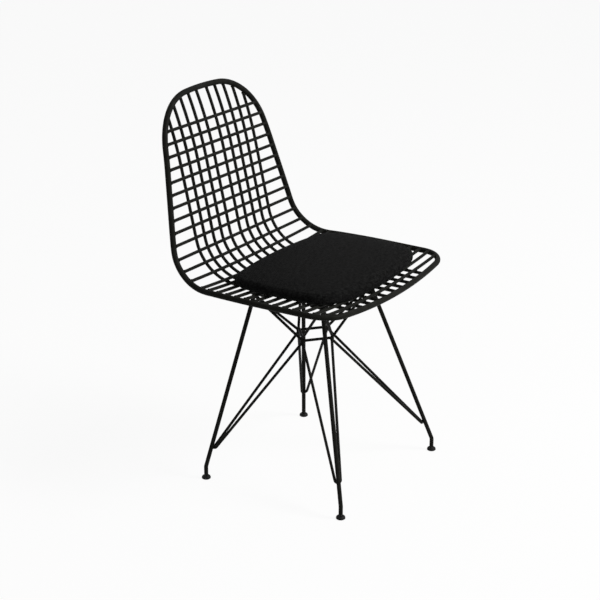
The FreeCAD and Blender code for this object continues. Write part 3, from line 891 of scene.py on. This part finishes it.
def unwrapPad(piece, parts, rest, seam):
    # true-size map: panels from above, band along its length
    layer = piece.data.uv_layers.active
    count = len(seam)
    pitch = (seam[1] - seam[0]).length
    nearest = {}

    def ringIndex(i):
        if i not in nearest:
            co = rest[i]
            nearest[i] = min(range(count), key=lambda k: (seam[k].xy - co.xy).length_squared)
        return nearest[i]

    for face in piece.data.polygons:
        side = any(parts[i] == "band" for i in face.vertices)
        first = ringIndex(face.vertices[0]) if side else 0
        for corner in face.loop_indices:
            i = piece.data.loops[corner].vertex_index
            co = rest[i]
            if side:
                k = ringIndex(i)
                k += count * round((first - k) / count)
                layer.data[corner].uv = (k * pitch, co.z)
            else:
                layer.data[corner].uv = (co.x, co.y)


def makeSeatPad():
    piece, seam, underside, topLevel = modelPad()
    rest = [v.co.copy() for v in piece.data.vertices]
    parts = [padPart(co, underside, topLevel) for co in rest]
    held = {i for i, part in enumerate(parts) if part == "under"}
    for face in piece.data.polygons:
        if any(parts[i] == "band" for i in face.vertices):
            held.update(i for i in face.vertices if parts[i] == "top")
    inflatePad(piece, list(held))
    settlePad(piece, parts, rest)
    unwrapPad(piece, parts, rest, seam)
    makeActive(piece)
    bpy.ops.object.shade_smooth()
    fine = piece.modifiers.new("fine", "SUBSURF")
    fine.levels = fine.render_levels = 1
    applyAll(piece)
    finishPiece(piece, padCover)
    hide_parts(pad["node"])
    print("seat pad:", len(piece.data.polygons), "faces")
    return piece, [Vector((p.x, p.y, topLevel)) for p in seam]


def modelStitch():
    # one stitch of thread, sunk at both ends
    clearSelection()
    bpy.ops.mesh.primitive_uv_sphere_add(segments=stitching["segments"], ring_count=stitching["rings"],
                                         radius=0.5)
    stitch = bpy.context.object
    startEdit(stitch, "VERT")
    bpy.ops.mesh.select_all(action="SELECT")
    bpy.ops.transform.rotate(value=math.pi / 2, orient_axis="Y", center_override=(0, 0, 0))
    bpy.ops.transform.resize(value=(stitching["length"], stitching["width"], stitching["width"]))
    bpy.ops.object.mode_set(mode="OBJECT")
    bpy.ops.object.shade_smooth()
    return stitch


def makeStitches(piece, seamLine):
    # a row of topstitching just inside the upper seam
    line = drawnIn(seamLine, stitching["inset"])
    line.append(line[0])
    model = modelStitch()
    stitches = []
    left = 0.0
    for a, b in zip(line, line[1:]):
        length = (b - a).length
        while left < length:
            spot = a.lerp(b, left / length)
            above = Vector((spot.x, spot.y, spot.z + clear))
            hit, on, normal, _ = piece.ray_cast(above, Vector((0, 0, -1)))
            if hit:
                stitches.append(placedCopy(model, frameAt(on, (b - a).normalized(), normal)))
            left += stitching["pitch"]
        left -= length
    bpy.data.objects.remove(model)
    print(len(stitches), "stitches")
    return finishPiece(joinPieces(stitches, "pad_stitching"), threadFinish)


def makeCameraAndLights():
    data = bpy.data.cameras.new("camera")
    data.lens = camera["lens"]
    data.sensor_width = camera["sensor"]
    data.clip_end = camera["reach"]
    eye = bpy.data.objects.new("camera", data)
    eye.location = camera["place"]
    eye.rotation_euler = [math.radians(a) for a in camera["turn"]]
    bpy.context.scene.collection.objects.link(eye)
    bpy.context.scene.camera = eye
    for name in ("key", "fill"):
        lamp = bpy.data.lights.new(name, "AREA")
        lamp.shape = "DISK"
        lamp.size = studio[name + "Size"]
        lamp.energy = studio[name + "Power"]
        holder = bpy.data.objects.new(name, lamp)
        holder.location = studio[name + "Place"]
        aim = Vector(studio["aim"]) - holder.location
        holder.rotation_euler = aim.to_track_quat("-Z", "Y").to_euler()
        bpy.context.scene.collection.objects.link(holder)


def seenRays(tree):
    # 1 where the camera looks, straight, in a reflection or through glass
    path = addNode(tree, "ShaderNodeLightPath")
    total = path.outputs["Is Camera Ray"]
    for name in ("Is Glossy Ray", "Is Transmission Ray"):
        more = addNode(tree, "ShaderNodeMath", operation="MAXIMUM")
        tree.links.new(total, more.inputs[0])
        tree.links.new(path.outputs[name], more.inputs[1])
        total = more.outputs["Value"]
    return total


def makeWorld():
    world = bpy.data.worlds.new("studio")
    world.use_nodes = True
    tree = world.node_tree
    sky = tree.nodes["Background"]
    strength = spread(tree, seenRays(tree), 0.0, 1.0, studio["ambient"], 1.0)
    sky.inputs["Color"].default_value = (1, 1, 1, 1)
    tree.links.new(strength, sky.inputs["Strength"])
    bpy.context.scene.world = world


def makeFloor():
    clearSelection()
    bpy.ops.mesh.primitive_plane_add(size=studio["floorSize"])
    floor = bpy.context.object
    floor.name = "floor"
    material, tree, shader = startMaterial("pale_floor")
    shader.inputs["Base Color"].default_value = (*studio["floorTone"], 1)
    shader.inputs["Roughness"].default_value = studio["floorRoughness"]
    shader.inputs["Specular IOR Level"].default_value = 0.0
    white = addNode(tree, "ShaderNodeEmission")
    share = spread(tree, seenRays(tree), 0.0, 1.0, 0.0, studio["floorGlow"])
    mix = addNode(tree, "ShaderNodeMixShader")
    tree.links.new(share, mix.inputs["Fac"])
    tree.links.new(shader.outputs["BSDF"], mix.inputs[1])
    tree.links.new(white.outputs["Emission"], mix.inputs[2])
    tree.links.new(mix.outputs["Shader"], tree.nodes["Material Output"].inputs["Surface"])
    floor.data.materials.append(material)


makeCrossingWelds()
makeRimWelds()
makeBaseWelds()
makePlateWelds()
makeTabWelds()
print("welds done")
seatPad, seamLine = makeSeatPad()
makeStitches(seatPad, seamLine)
print("seat pad done")

makeCameraAndLights()
makeWorld()
makeFloor()
print("studio set")

scene = bpy.context.scene
scene.view_settings.view_transform = "Standard"
